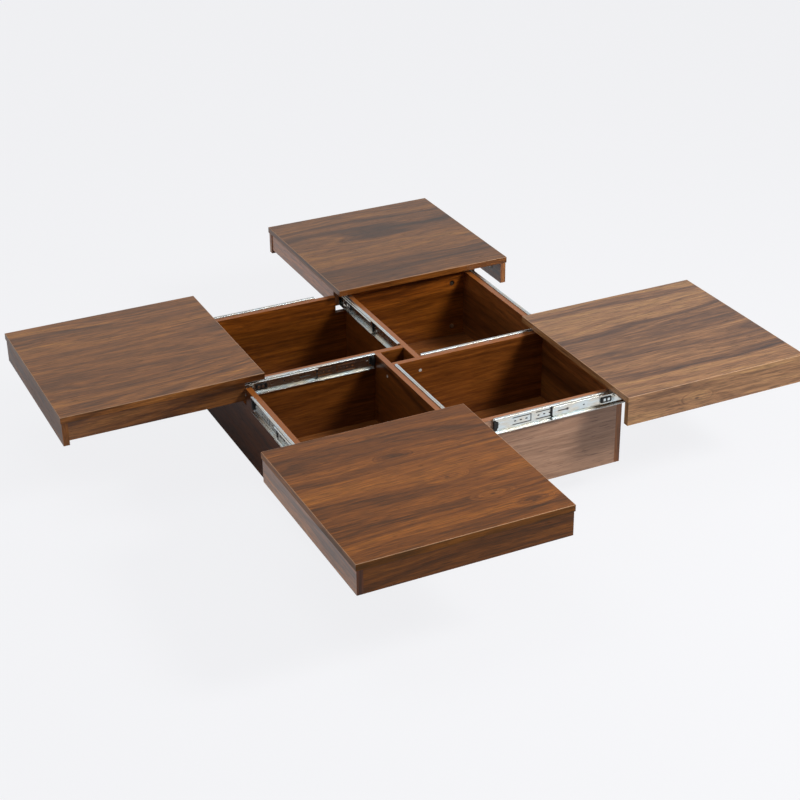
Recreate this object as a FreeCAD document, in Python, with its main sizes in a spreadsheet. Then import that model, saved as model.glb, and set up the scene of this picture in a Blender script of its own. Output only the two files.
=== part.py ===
"""Square coffee table whose top is four sliding lids over four storage compartments.

The frame is in millimetres: the origin is on the floor under the table's centre, +X right,
+Y back, +Z up.  The lids are drawn pulled out by their full travel.  The table looks the same
from each of its four sides, so most pieces are described once, for the back lid and the
partition that carries it, and are then turned about Z by 90 degrees for the other three.
"""
import FreeCAD
import Part
import Sketcher
import math
import os
import re
from FreeCAD import Placement, Rotation, Vector

# ---------------------------------------------------------------- driving dimensions
SIZES = [
    ("lid_margin", 100.0, "how far the closed lids stand out past the carcass"),
    ("lid_board", 16.0, "thickness of a lid's top panel"),
    ("lid_seam", 1.0, "gap between neighbouring lids when they are closed"),
    ("lid_edge", 1.0, "rounding of a lid's upper edges"),
    ("overhang", 2.0, "how far a lid's panel stands over its aprons"),
    ("apron_drop", 59.0, "height of an apron below the lid's panel"),
    ("rail_drop", 48.0, "height of a rail below the lid's panel"),
    ("board", 15.0, "thickness of the carcass boards, aprons and rails"),
    ("wall_height", 200.0, "height of the carcass walls"),
    ("board_edge", 0.8, "rounding of the carcass boards' upper edges"),
    ("lid_gap", 15.0, "from the carcass's top edge up to the lid's panel"),
    ("well_half", 32.0, "half the width of the central well"),
    ("plinth_side", 500.0, "side of the recessed plinth"),
    ("plinth_height", 75.0, "height of the plinth boards"),
    ("glide_height", 5.0, "height of a floor glide"),
    ("glide_radius", 12.0, "radius of a floor glide"),
    ("glide_inset", 1.0, "from the plinth's outer faces to a floor glide"),
    ("slide_length", 350.0, "length of a slide's channel, and how far its lid slides out"),
    ("mid_hold", 196.0, "length of the open intermediate member that stays in the channel"),
    ("slide_height", 42.0, "height of a slide's channel"),
    ("slide_depth", 12.7, "thickness of a closed slide"),
    ("slide_rise", 4.0, "how far a slide stands above the carcass's top edge"),
    ("slide_end_gap", 3.0, "from the partition that a slide points at to the slide's end"),
    ("steel", 1.2, "sheet thickness of the slide members"),
    ("ball_radius", 1.5, "radius of a slide's balls"),
    ("race_gap", 0.3, "clearance between a ball and its races"),
    ("web_gap", 1.2, "clearance between the channel's and the intermediate member's webs"),
    ("race_step", 3.5, "depth between the outer and the inner ball rows"),
    ("corner_radius", 2.5, "bend radius of the channel's corners, to the sheet's middle"),
    ("bumper_length", 8.0, "length of the bumper at a channel's inner end"),
    ("bumper_height", 22.0, "height of the bumper"),
    ("bumper_depth", 6.0, "thickness of the bumper"),
    ("member_gap", 1.0, "clearance between the bumper and the closed sliding members"),
    ("mid_recess", 3.0, "how far the closed intermediate member stops short of the channel"),
    ("cage_length", 140.0, "length of a ball cage"),
    ("cage_steel", 0.6, "sheet thickness of a ball cage"),
    ("outer_cage_rest", 89.5, "from the channel's inner end to the outer cage, lid closed"),
    ("inner_cage_rest", 37.5, "from the channel's inner end to the inner cage, lid closed"),
    ("pocket_gap", 0.15, "clearance round a ball in its cage"),
    ("outer_arm_reach", 1.4, "how far an outer cage's arm passes its balls' centres"),
    ("inner_arm_reach", 1.5, "how far an inner cage's arm passes its balls' centres"),
    ("inner_arm_drop", 0.45, "how far an inner cage's arm lies inside its balls' centres"),
    ("inner_web_gap", 1.0, "from the intermediate member's web to the inner cage's middle"),
    ("member_hole", 2.0, "radius of the screw holes in the slide members"),
    ("screw_inset_inner", 18.0, "from a slide member's inner end to its first screw"),
    ("screw_inset_outer", 32.0, "from a slide member's outer end to its last screw"),
    ("tab_start", 51.0, "from the channel's inner end to its first punched tab"),
    ("tab_pitch", 62.0, "between the two punched tabs of a channel"),
    ("tab_length", 50.0, "length of a punched tab"),
    ("tab_half", 10.0, "half the height of a punched tab"),
    ("tab_slit", 2.5, "width of the slit round a punched tab"),
    ("slot_inset", 7.0, "from a tab's root to its first slot"),
    ("slot_pitch", 15.0, "between the slots of a tab"),
    ("slot_reach", 1.5, "from a slot's middle to the centre of its round end"),
    ("slot_radius", 1.6, "radius of a slot's round ends"),
    ("keyhole_at", 42.0, "from the intermediate member's inner end to its keyhole"),
    ("keyhole_radius", 3.5, "radius of the keyhole"),
    ("keyhole_slot", 25.0, "length of the keyhole's slot"),
    ("keyhole_width", 3.0, "width of the keyhole's slot"),
    ("pin_hole_at", 87.0, "from the intermediate member's inner end to its pin hole"),
    ("pin_hole", 2.0, "radius of the pin hole"),
    ("notch_floor_gap", 8.0, "clearance under a slide in its wall's notch"),
    ("notch_gap", 1.5, "clearance beside a rail in its notch"),
    ("cam_radius", 7.5, "radius of a cam lock's bore"),
    ("cam_depth", 12.0, "depth of a cam lock's bore"),
    ("cam_inset", 35.0, "from a board's end to the cam lock's centre"),
    ("cam_sink", 0.2, "from a wall's face back to its cam lock, and clearance behind it"),
    ("cam_slot", 8.0, "length of each arm of a cam lock's cross slot"),
    ("cam_slot_width", 1.6, "width of the cross slot"),
    ("cam_slot_depth", 2.0, "depth of the cross slot"),
    ("cam_pocket_gap", 0.6, "clearance round a bolt's head in its cam lock"),
    ("fit_gap", 0.1, "radial clearance of dowels, cams, bolts and screws in their bores"),
    ("bolt_radius", 3.0, "radius of a cam bolt's thread and head"),
    ("bolt_shank", 2.2, "radius of a cam bolt's shank"),
    ("bolt_grip", 11.0, "depth of a cam bolt's bore in the other board"),
    ("bolt_end_gap", 0.5, "clearance past a cam bolt's tip"),
    ("bolt_collar", 4.0, "length of a cam bolt's collar, next to its thread"),
    ("bolt_head", 2.5, "length of a cam bolt's head"),
    ("bolt_reach", 1.5, "from a cam lock's centre to the head of its bolt"),
    ("upper_fixing", 30.0, "from the carcass's top edge down to the cams and upper screws"),
    ("lower_fixing", 41.0, "from the carcass's bottom edge up to the lower fixings"),
    ("upper_dowel", 62.0, "from the carcass's top edge down to a partition's upper dowel"),
    ("dowel_radius", 4.0, "radius of a wooden dowel"),
    ("dowel_short", 10.0, "dowel length in the face of a board"),
    ("dowel_long", 20.0, "dowel length in the edge of a board"),
    ("dowel_end_gap", 0.5, "clearance at each end of a dowel"),
    ("bottom_dowel_inset", 200.0, "from a wall's end to a bottom panel's dowel"),
    ("plinth_dowel_inset", 125.0, "from a plinth corner to a plinth board's dowel"),
    ("screw_radius", 2.5, "radius of a carcass screw"),
    ("screw_length", 50.0, "length of a carcass screw"),
    ("screw_head_radius", 4.0, "radius of a carcass screw's head"),
    ("screw_head", 3.0, "height of a carcass screw's head"),
    ("screw_end_gap", 0.5, "clearance past a screw's tip"),
    ("pan_radius", 3.3, "radius of a pan-head screw's head"),
    ("pan_height", 0.9, "height of a pan-head screw's head"),
    ("pan_shank", 1.75, "radius of a pan-head screw's shank"),
    ("pan_length", 11.0, "length of a pan-head screw in the board"),
    ("bracket_leg", 32.0, "length of a corner bracket's leg"),
    ("bracket_width", 14.0, "width of a corner bracket"),
    ("bracket_steel", 2.0, "thickness of a corner bracket"),
    ("bracket_screw", 20.0, "from a corner bracket's corner to the screw in each leg"),
    ("bracket_inset", 60.0, "from a board's end to the middle of a corner bracket"),
    ("bracket_end_inset", 22.0, "from the end apron to the middle of the inner rail's bracket"),
    ("bracket_spread", 100.0, "from a rail to the middle of an end apron's bracket"),
    ("bracket_drop", 39.0, "from a lid's panel to the middle of the aprons' corner bracket"),
]
size = {name: value for name, value, note in SIZES}

doc = FreeCAD.newDocument("sliding_top_coffee_table")
sheet = doc.addObject("Spreadsheet::Sheet", "Sizes")
for row, (name, value, note) in enumerate(SIZES, start=1):
    sheet.set("A%d" % row, note)
    sheet.set("B%d" % row, str(value))
    sheet.setAlias("B%d" % row, name)
doc.recompute()

# ---------------------------------------------------------------- levels and faces
BODY_FLOOR = "(glide_height + plinth_height)"
BODY_TOP = "(%s + wall_height)" % BODY_FLOOR
LID_UNDER = "(%s + lid_gap)" % BODY_TOP
SLIDE_START = "(well_half + board + slide_end_gap)"
BODY_HALF = "(%s + slide_length)" % SLIDE_START
INNER_HALF = "(%s - board)" % BODY_HALF
WALL_MIDDLE = "(%s - board / 2)" % BODY_HALF
LID_SIDE = "(%s + lid_margin)" % BODY_HALF
TRAVEL = "slide_length"
PARTITION_MIDDLE = "(well_half + board / 2)"
BOTTOM_MIDDLE = "(%s + board / 2)" % BODY_FLOOR
SLIDE_MIDDLE = "(%s + slide_rise - slide_height / 2)" % BODY_TOP
MEMBER_START = "(%s + bumper_length + member_gap)" % SLIDE_START
MEMBER_LENGTH = "(slide_length - bumper_length - member_gap)"
MID_TRAVEL = "(slide_length - bumper_length - member_gap - mid_hold)"
RAIL_FACE = "(well_half - slide_depth - board)"
OUTER_RAIL_FACE = "(%s + slide_depth)" % BODY_HALF
APRON_FACE = "(%s - overhang - board)" % LID_SIDE
END_APRON_FACE = "(%s + %s)" % (TRAVEL, APRON_FACE)
UPPER_FIXING = "(%s - upper_fixing)" % BODY_TOP
LOWER_FIXING = "(%s + lower_fixing)" % BODY_FLOOR
FIXING_HEIGHTS = (UPPER_FIXING, LOWER_FIXING)
DOWEL_HEIGHTS = ("(%s - upper_dowel)" % BODY_TOP, LOWER_FIXING)

SIDES = ["back", "left", "front", "right"]
AXIS_TURN = {
    "+X": Rotation(Vector(0, 1, 0), 90),
    "-X": Rotation(Vector(0, 1, 0), -90),
    "+Y": Rotation(Vector(1, 0, 0), -90),
    "-Y": Rotation(Vector(1, 0, 0), 90),
    "+Z": Rotation(),
    "-Z": Rotation(Vector(1, 0, 0), 180),
}
BALLS_IN_ROW = 2
TABS = 2
SLOTS_IN_TAB = 3
sub_parts = []


# ---------------------------------------------------------------- building blocks
def bind(thing, prop, text):
    """Bind a property to an expression in which every word is a size's name."""
    thing.setExpression(prop, re.sub(r"[a-z][a-z_]*", r"Sizes.\g<0>", str(text)))


def plus(text, length):
    return "(%s) + (%s)" % (text, length)


def minus(text, length):
    return "(%s) - (%s)" % (text, length)


def negative(text):
    return "-(%s)" % text


def along(point, arm, length):
    """A point moved along an arm, such as -x."""
    move = plus if arm[0] == "+" else minus
    return tuple(move(text, length) if letter == arm[1] else text
                 for letter, text in zip("xyz", point))


def against(arm):
    """The axis that points against an arm."""
    return ("-" if arm[0] == "+" else "+") + arm[1].upper()


def add(kind, name):
    return doc.addObject(kind, name)


def turn_about_centre(turn):
    return Placement(Vector(0, 0, 0), Rotation(Vector(0, 0, 1), 90 * turn))


def finish(thing, name, turn=0):
    """Label a finished sub-part and turn it to its side of the table."""
    thing.Label = name
    thing.Placement = turn_about_centre(turn)
    sub_parts.append(thing)


def seat(thing, place):
    for letter, text in zip("xyz", place):
        bind(thing, "Placement.Base." + letter, text)


def block(low, high):
    """A block between two corners, each given as three expressions."""
    thing = add("Part::Box", "block")
    for prop, a, b in zip(("Length", "Width", "Height"), low, high):
        bind(thing, prop, minus(b, a))
    seat(thing, low)
    return thing


def rod(radius, length, start, axis):
    """A cylinder from a point along an axis."""
    thing = add("Part::Cylinder", "rod")
    bind(thing, "Radius", radius)
    bind(thing, "Height", length)
    thing.Placement = Placement(Vector(0, 0, 0), AXIS_TURN[axis])
    seat(thing, start)
    return thing


def group(things):
    thing = add("Part::Compound", "group")
    thing.Links = things
    return thing


def turned(things, turn):
    """The pieces as one group, turned about the table's centre."""
    whole = group(things)
    whole.Placement = turn_about_centre(turn)
    return whole


def union(things):
    thing = add("Part::MultiFuse", "union")
    thing.Shapes = things
    return thing


def without(base, tools):
    thing = add("Part::Cut", "cut")
    thing.Base = base
    thing.Tool = group(tools)
    return thing


def outline(body, plane, points, level):
    """A closed polygon on one of the body's own origin planes, moved to a level."""
    sketch = body.newObject("Sketcher::SketchObject", "outline")
    face = [item for item in body.Origin.OriginFeatures if item.Role == plane + "_Plane"][0]
    sketch.AttachmentSupport = [(face, "")]
    sketch.MapMode = "FlatFace"
    count = len(points)
    # The corners start anywhere apart, and their constraints then put them in place.
    starts = [Vector(index, index * index, 0) for index in range(count)]
    for index in range(count):
        line = Part.LineSegment(starts[index], starts[(index + 1) % count])
        sketch.addGeometry(line, False)
    for index in range(count):
        following = (index + 1) % count
        sketch.addConstraint(Sketcher.Constraint("Coincident", index, 2, following, 1))
    for index, (x, y) in enumerate(points):
        for kind, text, now in (("DistanceX", x, starts[index].x), ("DistanceY", y, starts[index].y)):
            constraint = Sketcher.Constraint(kind, -1, 1, index, 1, now)
            bind(sketch, "Constraints[%d]" % sketch.addConstraint(constraint), text)
    sign = "-" if plane == "XZ" else ""
    bind(sketch, "AttachmentOffset.Base.z", "%s(%s)" % (sign, level))
    return sketch


def rectangle(x0, x1, y0, y1):
    return [(x0, y0), (x1, y0), (x1, y1), (x0, y1)]


def board(plane, points, level, thickness, rounding=None):
    """A board padded from its outline, with its uppermost edges rounded over."""
    body = add("PartDesign::Body", "board")
    pad = body.newObject("PartDesign::Pad", "Pad")
    pad.Profile = (outline(body, plane, points, level), [""])
    bind(pad, "Length", thickness)
    pad.Reversed = plane == "XZ"
    body.Tip = pad
    doc.recompute()
    if rounding:
        crown = pad.Shape.BoundBox.ZMax
        edges = []
        for number, edge in enumerate(pad.Shape.Edges, start=1):
            if edge.BoundBox.ZMin > crown - 1e-6:
                edges.append("Edge%d" % number)
        fillet = body.newObject("PartDesign::Fillet", "Fillet")
        fillet.Base = (pad, edges)
        bind(fillet, "Radius", rounding)
        body.Tip = fillet
    return body


# ---------------------------------------------------------------- pan-head screws
# A screw is given by the point where it enters its board and the arm that points off the board.
def pilot_bore(point, off):
    return rod("pan_shank + fit_gap", "pan_length + screw_end_gap", point, against(off))


def sheet_hole(point, off, thickness, radius):
    """A hole for a screw through the sheet that lies on its board."""
    return rod(radius, "3 * " + thickness, along(point, off, "2 * " + thickness), against(off))


def pan_screw(point, off, thickness):
    """A screw through a sheet of a given thickness into the board behind it."""
    crown = along(point, off, "%s + pan_height" % thickness)
    head = rod("pan_radius", "pan_height", crown, against(off))
    shank = rod("pan_shank", "pan_length + %s + pan_height" % thickness, crown, against(off))
    return union([head, shank])


# ---------------------------------------------------------------- where the slides hang
# Each lid has two slides.  The inner one hangs on the lid's partition and faces the well, and the
# outer one hangs on the outside of the carcass and faces away from it.
SLIDES = [("inner", "well_half", True), ("outer", BODY_HALF, False)]


def at_depth(face, mirrored, depth):
    """The X of a depth from the board's face that carries the slide."""
    return "(%s) %s (%s)" % (face, "-" if mirrored else "+", depth)


def outward_arm(mirrored):
    """The arm that points off the board that carries a slide."""
    return "-x" if mirrored else "+x"


def member_screws(face, start, length):
    """Where a slide member's two screws enter the board that it lies on."""
    return [(face, plus(start, place), SLIDE_MIDDLE)
            for place in ("screw_inset_inner", minus(length, "screw_inset_outer"))]


def channel_fixings(face, mirrored):
    return [(point, outward_arm(mirrored))
            for point in member_screws(face, SLIDE_START, "slide_length")]


def lid_member_fixings(face, mirrored):
    rail_face = at_depth(face, mirrored, "slide_depth")
    return [(point, outward_arm(not mirrored))
            for point in member_screws(rail_face, plus(MEMBER_START, TRAVEL), MEMBER_LENGTH)]


def screw_bores(face, mirrored):
    """Pilot bores for the slide screws, in the board behind a channel."""
    return [pilot_bore(point, off) for point, off in channel_fixings(face, mirrored)]


# ---------------------------------------------------------------- carcass
def dowel(start, axis):
    """A dowel from inside one board's face into the other board's edge."""
    return rod("dowel_radius", "dowel_short + dowel_long - 2 * dowel_end_gap", start, axis)


def dowel_bore(start, axis):
    return rod("dowel_radius + fit_gap", "dowel_short + dowel_long", start, axis)


def partition_dowels(make, end_gap="0"):
    """Two dowels from the back wall into the outer end of the back partition."""
    y = "%s + dowel_short - %s" % (INNER_HALF, end_gap)
    return [make((PARTITION_MIDDLE, y, z), "-Y") for z in DOWEL_HEIGHTS]


def bottom_dowels(make, end_gap="0"):
    """Two dowels from the back wall into the bottom panel's edge."""
    y = "%s + dowel_short - %s" % (INNER_HALF, end_gap)
    x = minus(BODY_HALF, "bottom_dowel_inset")
    return [make((place, y, BOTTOM_MIDDLE), "-Y") for place in (x, negative(x))]


def plinth_dowels(make, end_gap="0"):
    """Two dowels from the bottom panel into the back plinth board's upper edge."""
    y = "plinth_side / 2 - board / 2"
    z = "%s + dowel_short - %s" % (BODY_FLOOR, end_gap)
    x = "plinth_side / 2 - plinth_dowel_inset"
    return [make((place, y, z), "-Z") for place in (x, negative(x))]


def countersunk(radius, head_radius, start, axis, end_gap="0"):
    shank = rod(radius, "screw_length - %s" % end_gap, start, axis)
    head = rod(head_radius, "screw_head", start, axis)
    return union([shank, head])


def joint_screws(radius, head_radius, end_gap="0"):
    """Two screws through the right partition into the inner end of the back partition."""
    face = "-well_half - board"
    return [countersunk(radius, head_radius, (PARTITION_MIDDLE, face, z), "+Y", end_gap)
            for z in FIXING_HEIGHTS]


BORE_RADIUS = "screw_radius + fit_gap"
HEAD_BORE_RADIUS = "screw_head_radius + fit_gap"


def cam_corners():
    """The back wall's four cams: which end of the wall, and at what height."""
    return [(end, z) for end in (-1, 1) for z in FIXING_HEIGHTS]


def outward(end):
    return "+X" if end > 0 else "-X"


def inward(end):
    return "-X" if end > 0 else "+X"


def cam_x(end):
    return "%d * (%s - cam_inset)" % (end, INNER_HALF)


def cam_bores():
    """The back wall's cam bores, and the bolt bores that run on into the side walls."""
    tools = []
    for end, z in cam_corners():
        tools.append(rod("cam_radius", "cam_depth", (cam_x(end), INNER_HALF, z), "+Y"))
        bolt_end = "%d * (%s + bolt_grip)" % (end, INNER_HALF)
        tools.append(rod("bolt_radius + fit_gap", "cam_inset + bolt_grip",
                         (bolt_end, WALL_MIDDLE, z), inward(end)))
    return tools


def cam_lock(end, z):
    """A round cam: a cross slot for the driver, and a side pocket for the bolt's head."""
    x = cam_x(end)
    face = "%s + cam_sink" % INNER_HALF
    disc = rod("cam_radius - fit_gap", "cam_depth - 2 * cam_sink", (x, face, z), "+Y")
    slot_floor = plus(face, "cam_slot_depth")
    arm = ("cam_slot / 2", "cam_slot_width / 2")
    slots = []
    for half_x, half_z in (arm, reversed(arm)):
        slots.append(block((minus(x, half_x), INNER_HALF, minus(z, half_z)),
                           (plus(x, half_x), slot_floor, plus(z, half_z))))
    pocket = rod("bolt_radius + cam_pocket_gap", "cam_radius", (x, WALL_MIDDLE, z), outward(end))
    return without(disc, slots + [pocket])


def cam_bolt(end, z):
    """A bolt screwed into the side wall, with its head in the cam's pocket."""
    tip = "%d * (%s + bolt_grip - bolt_end_gap)" % (end, INNER_HALF)
    neck = "%d * (%s - cam_inset + bolt_reach + bolt_head)" % (end, INNER_HALF)
    length = "cam_inset + bolt_grip - bolt_end_gap - bolt_reach"
    shank = rod("bolt_shank", length, (tip, WALL_MIDDLE, z), inward(end))
    thread = rod("bolt_radius", "bolt_grip + bolt_collar", (tip, WALL_MIDDLE, z), inward(end))
    head = rod("bolt_radius", "bolt_head", (neck, WALL_MIDDLE, z), inward(end))
    return union([shank, thread, head])


def wall(side, turn):
    """An outer wall.  Side walls run the full depth, and the other two stand between them."""
    through = side in ("left", "right")
    half = BODY_HALF if through else INNER_HALF
    notch_floor = "%s + slide_rise - slide_height - notch_floor_gap" % BODY_TOP
    points = [
        ("-" + half, BODY_FLOOR),
        (half, BODY_FLOOR),
        (half, BODY_TOP),
        ("well_half", BODY_TOP),
        ("well_half", notch_floor),
        ("%s - notch_gap" % RAIL_FACE, notch_floor),
        ("%s - notch_gap" % RAIL_FACE, BODY_TOP),
        ("-" + half, BODY_TOP),
    ]
    solid = board("XZ", points, INNER_HALF, "board", "board_edge")
    bores = partition_dowels(dowel_bore) + bottom_dowels(dowel_bore)
    bores.append(turned(screw_bores(BODY_HALF, False), 1))
    if through:
        bores += [turned(cam_bores(), quarter) for quarter in (-1, 1)]
    else:
        bores += cam_bores()
    finish(without(solid, bores), "wall_" + side, turn)


def partition(side, turn):
    """A partition from its outer wall to the next partition, leaving the well between them."""
    points = rectangle("-well_half", INNER_HALF, plus(BODY_FLOOR, "board"), BODY_TOP)
    solid = board("YZ", points, "well_half", "board", "board_edge")
    bores = partition_dowels(dowel_bore)
    bores += joint_screws(BORE_RADIUS, HEAD_BORE_RADIUS)
    bores.append(turned(joint_screws(BORE_RADIUS, HEAD_BORE_RADIUS), 1))
    bores += screw_bores("well_half", True)
    finish(without(solid, bores), "partition_" + side, turn)


def bottom():
    points = rectangle("-" + INNER_HALF, INNER_HALF, "-" + INNER_HALF, INNER_HALF)
    solid = board("XY", points, BODY_FLOOR, "board")
    bores = []
    for turn in range(4):
        bores.append(turned(bottom_dowels(dowel_bore) + plinth_dowels(dowel_bore), turn))
    finish(without(solid, bores), "bottom_panel")


def plinth():
    """The front and back plinth boards run through, and the other two stand between them."""
    boards = []
    for turn in range(4):
        half = "(plinth_side / 2)" if turn in (0, 2) else "(plinth_side / 2 - board)"
        points = rectangle("-" + half, half, "glide_height", BODY_FLOOR)
        solid = board("XZ", points, "plinth_side / 2 - board", "board")
        boards.append(turned([without(solid, plinth_dowels(dowel_bore))], turn))
    finish(group(boards), "plinth_boards")


def glides():
    place = "(plinth_side / 2 - glide_radius - glide_inset)"
    discs = []
    for turn in range(4):
        discs.append(turned([rod("glide_radius", "glide_height", (place, place, "0"), "+Z")], turn))
    finish(group(discs), "floor_glides")


def carcass():
    for turn, side in enumerate(SIDES):
        wall(side, turn)
        partition(side, turn)
    bottom()
    plinth()
    glides()


def carcass_fixings():
    cams = []
    bolts = []
    for turn in (0, 2):
        cams.append(turned([cam_lock(end, z) for end, z in cam_corners()], turn))
        bolts.append(turned([cam_bolt(end, z) for end, z in cam_corners()], turn))
    finish(group(cams), "cam_locks")
    finish(group(bolts), "cam_bolts")
    pegs = []
    screws = []
    for turn in range(4):
        own_pegs = []
        for dowels in (partition_dowels, bottom_dowels, plinth_dowels):
            own_pegs += dowels(dowel, "dowel_end_gap")
        pegs.append(turned(own_pegs, turn))
        own_screws = joint_screws("screw_radius", "screw_head_radius", "screw_end_gap")
        screws.append(turned(own_screws, turn))
    finish(group(pegs), "dowels")
    finish(group(screws), "carcass_screws")


# ---------------------------------------------------------------- lids
def bracket_fixings(corner, arms):
    """Where the screws of a bracket's two legs enter their boards."""
    return [(along(corner, leg, "bracket_screw"), off) for leg, off in (arms, reversed(arms))]


def bracket(corner, arms):
    """A corner bracket: its two legs leave the corner along the two arms, such as -x and -z."""
    axes = [arm[1] for arm in arms]
    legs = []
    for long_axis in axes:
        low = []
        high = []
        for letter, start in zip("xyz", corner):
            if letter not in axes:
                low.append(minus(start, "bracket_width / 2"))
                high.append(plus(start, "bracket_width / 2"))
                continue
            reach = "bracket_leg" if letter == long_axis else "bracket_steel"
            forward = "+" + letter in arms
            low.append(start if forward else minus(start, reach))
            high.append(plus(start, reach) if forward else start)
        legs.append(block(low, high))
    holes = [sheet_hole(point, off, "bracket_steel", "pan_shank + fit_gap")
             for point, off in bracket_fixings(corner, arms)]
    return without(union(legs), holes)


def bracket_places():
    """Each bracket of a lid: its corner, its arms, and the boards that its two legs lie on."""
    inner_row = plus(TRAVEL, "bracket_inset")
    outer_row = "%s - bracket_inset" % END_APRON_FACE
    past_slide = minus(END_APRON_FACE, "bracket_end_inset")
    inner_side = "%s + board" % RAIL_FACE
    outer_side = "%s + board" % OUTER_RAIL_FACE
    side_boards = ("top", "side_apron")
    end_boards = ("top", "end_apron")
    places = []
    for row in (inner_row, outer_row):
        places.append(((APRON_FACE, row, LID_UNDER), ("-x", "-z"), side_boards))
    for x in (plus(inner_side, "bracket_spread"), minus(OUTER_RAIL_FACE, "bracket_spread")):
        places.append(((x, END_APRON_FACE, LID_UNDER), ("-y", "-z"), end_boards))
    corner = (APRON_FACE, END_APRON_FACE, minus(LID_UNDER, "bracket_drop"))
    places.append((corner, ("-x", "-y"), ("end_apron", "side_apron")))
    places.append(((inner_side, past_slide, LID_UNDER), ("+x", "-z"), ("top", "inner_rail")))
    for row in (plus(inner_row, SLIDE_START), minus(outer_row, "bracket_inset")):
        places.append(((outer_side, row, LID_UNDER), ("+x", "-z"), ("top", "outer_rail")))
    return places


def bored(solid, name, more=()):
    """A lid's board with the pilot bores of the bracket screws that enter it."""
    fixings = list(more)
    for corner, arms, boards in bracket_places():
        fixings += [fixing for fixing, board_name in zip(bracket_fixings(corner, arms), boards)
                    if board_name == name]
    return without(solid, [pilot_bore(point, off) for point, off in fixings])


def lid(side, turn):
    panel = rectangle("lid_seam / 2", LID_SIDE, plus(TRAVEL, "lid_seam / 2"), plus(TRAVEL, LID_SIDE))
    top = board("XY", panel, LID_UNDER, "lid_board", "lid_edge")
    finish(bored(top, "top"), "lid_%s_top" % side, turn)

    edge = "lid_seam / 2 + overhang"
    apron_foot = minus(LID_UNDER, "apron_drop")
    end = board("XZ", rectangle(edge, APRON_FACE, apron_foot, LID_UNDER), END_APRON_FACE, "board")
    finish(bored(end, "end_apron"), "lid_%s_end_apron" % side, turn)
    outer_face = plus(END_APRON_FACE, "board")
    flank = board("YZ", rectangle(plus(TRAVEL, edge), outer_face, apron_foot, LID_UNDER),
                  APRON_FACE, "board")
    finish(bored(flank, "side_apron"), "lid_%s_side_apron" % side, turn)

    rail_foot = minus(LID_UNDER, "rail_drop")
    rail = rectangle(plus(TRAVEL, SLIDE_START), END_APRON_FACE, rail_foot, LID_UNDER)
    rails = []
    for (label, face, mirrored), rail_face in zip(SLIDES, (RAIL_FACE, OUTER_RAIL_FACE)):
        solid = board("YZ", rail, rail_face, "board")
        rails.append(bored(solid, label + "_rail", lid_member_fixings(face, mirrored)))
    finish(group(rails), "lid_%s_rails" % side, turn)


def lid_fixings(side, turn):
    """A lid's corner brackets, and the screws of the brackets and of its slide members."""
    brackets = []
    screws = []
    for corner, arms, boards in bracket_places():
        brackets.append(bracket(corner, arms))
        screws += [pan_screw(point, off, "bracket_steel")
                   for point, off in bracket_fixings(corner, arms)]
    for label, face, mirrored in SLIDES:
        screws += [pan_screw(point, off, "steel")
                   for point, off in lid_member_fixings(face, mirrored)]
    finish(group(brackets), "lid_%s_brackets" % side, turn)
    finish(group(screws), "lid_%s_screws" % side, turn)


# ---------------------------------------------------------------- rolled slide sections
# A section is drawn in depth from the carcass board (x) and height above the slide's middle (y).
# The sheet's middle passes each ball at the radius WRAP, so the two ball rows place the bends.
WRAP = size["ball_radius"] + size["race_gap"] + size["steel"] / 2
MID_WEB = size["steel"] + size["web_gap"] + size["steel"] / 2
LID_WEB = size["slide_depth"] - size["steel"] / 2
CHANNEL_TOP = size["slide_height"] / 2 - size["steel"] / 2
OUTER_BALL = Vector(MID_WEB + WRAP, CHANNEL_TOP - WRAP, 0)
ROW_DROP = math.sqrt((2 * WRAP) ** 2 - size["race_step"] ** 2)
INNER_BALL = OUTER_BALL + Vector(size["race_step"], -ROW_DROP, 0)
ROW_SLOPE = math.atan2(-ROW_DROP, size["race_step"])
RACE_END = math.radians(20)
MID_RACE_START = math.radians(-120)
LID_RACE_START = math.radians(-60)
LID_RACE_END = math.radians(-135)


def round_ball(centre, radius, angle):
    return centre + Vector(radius * math.cos(angle), radius * math.sin(angle), 0)


def bend(centre, radius, first, last):
    points = [round_ball(centre, radius, angle) for angle in (first, (first + last) / 2, last)]
    return Part.Arc(*points).toShape()


def tangent_foot(start, angle, depth):
    """Where the race's tangent at an angle meets a web's depth."""
    return Vector(depth, start.y - (depth - start.x) / math.tan(angle), 0)


def channel_line():
    """Upper half of the channel: web, rounded corner, flange and a lip curled round the balls."""
    web = size["steel"] / 2
    corner = Vector(web + size["corner_radius"], CHANNEL_TOP - size["corner_radius"], 0)
    return [
        Part.makeLine(Vector(web, 0, 0), Vector(web, corner.y, 0)),
        bend(corner, size["corner_radius"], math.pi, math.pi / 2),
        Part.makeLine(Vector(corner.x, CHANNEL_TOP, 0), Vector(OUTER_BALL.x, CHANNEL_TOP, 0)),
        bend(OUTER_BALL, WRAP, math.pi / 2, RACE_END),
    ]


def mid_line():
    """Upper half of the intermediate member: its flange is a race on both of its faces."""
    start = round_ball(OUTER_BALL, WRAP, MID_RACE_START)
    shoulder = tangent_foot(start, MID_RACE_START, MID_WEB)
    return [
        Part.makeLine(Vector(MID_WEB, 0, 0), shoulder),
        Part.makeLine(shoulder, start),
        bend(OUTER_BALL, WRAP, MID_RACE_START, ROW_SLOPE),
        bend(INNER_BALL, WRAP, ROW_SLOPE + math.pi, RACE_END),
    ]


def lid_line():
    """Upper half of the lid's member: its web lies on the rail, its lips run under the balls."""
    start = round_ball(INNER_BALL, WRAP, LID_RACE_START)
    shoulder = tangent_foot(start, LID_RACE_START, LID_WEB)
    return [
        Part.makeLine(Vector(LID_WEB, 0, 0), shoulder),
        Part.makeLine(shoulder, start),
        bend(INNER_BALL, WRAP, LID_RACE_START, LID_RACE_END),
    ]


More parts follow.
